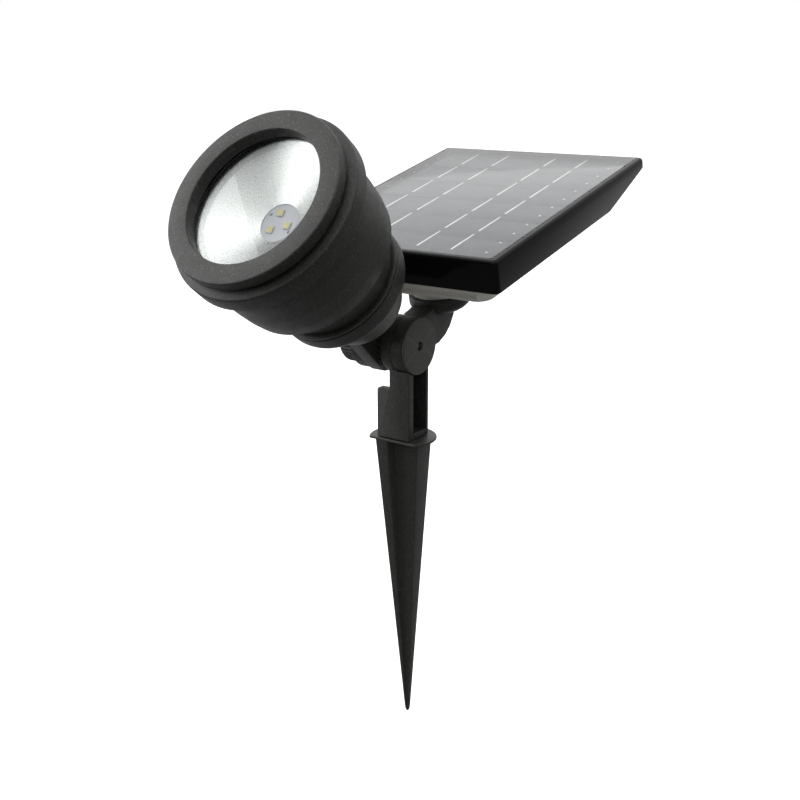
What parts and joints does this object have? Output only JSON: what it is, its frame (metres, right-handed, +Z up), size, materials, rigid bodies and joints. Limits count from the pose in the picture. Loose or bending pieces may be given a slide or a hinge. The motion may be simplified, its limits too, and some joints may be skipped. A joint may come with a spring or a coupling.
{
  "type": "solar garden spotlight",
  "caption": "Round garden spotlight and a separate tilting solar panel, clamped by one knob on a short post with a flat-flanged ground spike.",
  "frame": {"origin": "the middle of the post at ground level, on the underside of the spike's flange", "axes": "+Z up along the post; +X along the clamping hinge, towards its flat disc; the lamp head points towards -Y and the panel lies towards +Y"},
  "size_m": [0.152, 0.3245, 0.3933],
  "materials": {
    "post_plastic": "fine-grained matt black moulded plastic",
    "matt_plastic": "fine-grained matt black moulded plastic",
    "bezel_plastic": "spark-eroded matt dark grey moulded plastic",
    "disc_plastic": "smooth satin dark grey moulded plastic",
    "panel_plastic": "polished gloss black moulded plastic",
    "cover_plastic": "satin black moulded plastic",
    "zinc_steel": "bright zinc-plated steel",
    "brass_insert": "turned brass",
    "lens_glass": "clear polished lens",
    "gasket_rubber": "soft black rubber",
    "reflector_mirror": "vacuum-metallised with a fine orange-peel texture",
    "led_board_white": "white solder-resist board",
    "led_phosphor": "yellow phosphor resin in a white package",
    "sink_aluminium": "plain cast and turned aluminium",
    "cover_glass": "tempered low-iron glass",
    "silicon": "dark anti-reflection coated silicon",
    "back_sheet": "white laminated sheet",
    "cell_wrap": "blue shrink sleeve",
    "nickel": "nickel-plated spring strip",
    "circuit_board": "green solder-resist board",
    "switch_plastic": "black moulded switch body",
    "button_rubber": "dark grey rubber"
  },
  "bodies": {
    "mast": {"ground_spike": "post_plastic", "post": "post_plastic", "hinge_bolt": "zinc_steel", "hinge_disc": "disc_plastic"},
    "knob": {"clamp_knob": "matt_plastic", "knob_insert": "brass_insert"},
    "lamp": {"bezel_ring": "bezel_plastic", "lamp_housing": "matt_plastic", "lamp_collar": "matt_plastic", "lamp_neck": "matt_plastic", "lamp_lens": "lens_glass", "lens_gasket": "gasket_rubber", "reflector": "reflector_mirror", "led_board": "led_board_white", "led_chip_1": "led_phosphor", "led_chip_2": "led_phosphor", "led_chip_3": "led_phosphor", "heat_sink": "sink_aluminium"},
    "arm": {"panel_arm": "matt_plastic", "swivel_screw": "zinc_steel"},
    "panel": {"panel_housing": "panel_plastic", "panel_glass": "cover_glass", "solar_cell_1": "silicon", "solar_cell_2": "silicon", "solar_cell_3": "silicon", "solar_cell_4": "silicon", "solar_cell_5": "silicon", "solar_cell_6": "silicon", "panel_back_sheet": "back_sheet", "battery_cover": "cover_plastic", "cover_screw_1": "zinc_steel", "cover_screw_2": "zinc_steel", "cover_screw_3": "zinc_steel", "cover_screw_4": "zinc_steel", "battery_cell": "cell_wrap", "contact_negative": "nickel", "contact_positive": "nickel", "control_board": "circuit_board", "switch_body": "switch_plastic"},
    "button": {"power_button": "button_rubber"}
  },
  "joints": [
    {"name": "knob_turn", "type": "hinge", "parent": "mast", "child": "knob", "pos_m": [-0.032, 0, 0.06], "axis": [1, 0, 0], "range_deg": [0, 720]},
    {"name": "lamp_tilt", "type": "hinge", "parent": "mast", "child": "lamp", "pos_m": [-0.0158, 0, 0.06], "axis": [1, 0, 0], "range_deg": [0, 36]},
    {"name": "arm_tilt", "type": "hinge", "parent": "mast", "child": "arm", "pos_m": [0.007, 0, 0.06], "axis": [1, 0, 0], "range_deg": [-34, 0]},
    {"name": "panel_swivel", "type": "hinge", "parent": "arm", "child": "panel", "pos_m": [0.0035, 0.036, 0.0824], "axis": [0, -0.2198, 0.9755], "range_deg": [-7, 7]},
    {"name": "button_press", "type": "slide", "parent": "panel", "child": "button", "axis": [0, -0.2198, 0.9755], "range_m": [0, 0.0015], "stiffness_N_per_m": 400, "springref_m": -0.0005}
  ]
}
